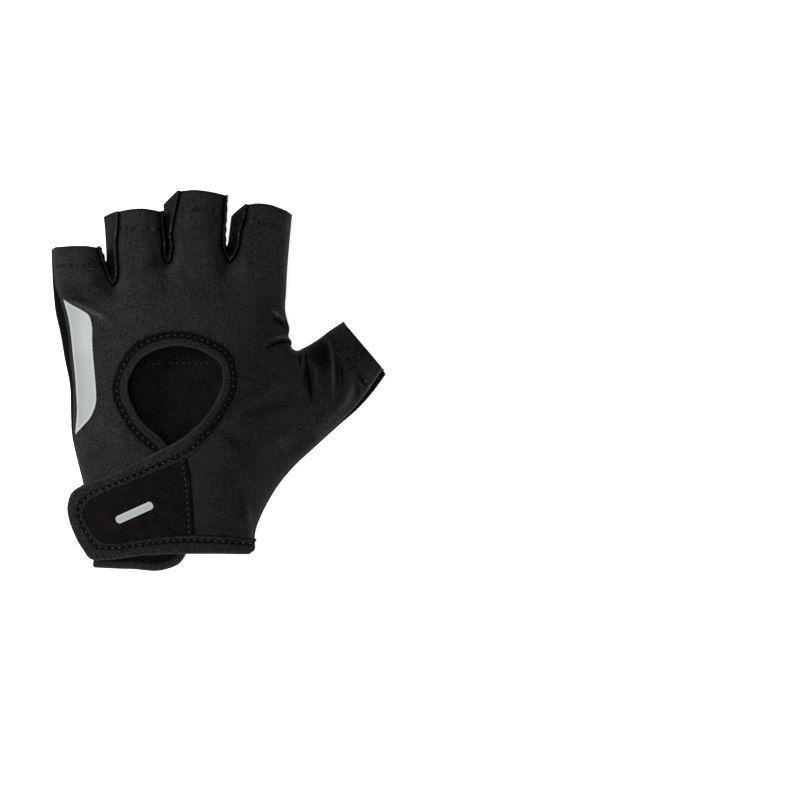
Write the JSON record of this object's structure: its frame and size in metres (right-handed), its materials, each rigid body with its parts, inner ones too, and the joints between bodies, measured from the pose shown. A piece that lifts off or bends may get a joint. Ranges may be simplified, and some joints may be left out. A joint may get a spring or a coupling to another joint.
{
  "type": "fitness glove",
  "caption": "Left-hand fingerless fitness glove lying on its palm, with a keyhole back, bound edges and a wrist strap that overlaps a flap.",
  "frame": {"origin": "centre of the box's base, on the surface the glove lies on", "axes": "+Y towards the fingers, +X towards the thumb, +Z out of the back of the hand"},
  "size_m": [0.1418, 0.1618, 0.0247],
  "materials": {
    "back_knit": "fine matte stretch knit",
    "palm_suede": "matte suede cloth",
    "gusset_knit": "smooth stretch cloth",
    "ribbed_tape": "cross-ribbed elastic tape",
    "strap_velour": "short-pile velour",
    "hook_pad": "fine hooks",
    "reflective_film": "silver reflective film"
  },
  "bodies": {
    "root": {"back_panel": "back_knit", "palm_panel": "palm_suede", "gusset_pinky_ring": "gusset_knit", "gusset_ring_middle": "gusset_knit", "gusset_middle_index": "gusset_knit", "keyhole_tape": "ribbed_tape", "strap_tape": "ribbed_tape", "cuff_tape": "ribbed_tape", "strap_patch": "strap_velour", "hook_pad": "hook_pad", "strap_reflector": "reflective_film", "reflective_patch": "reflective_film", "palm_patch": "palm_suede"}
  },
  "joints": []
}
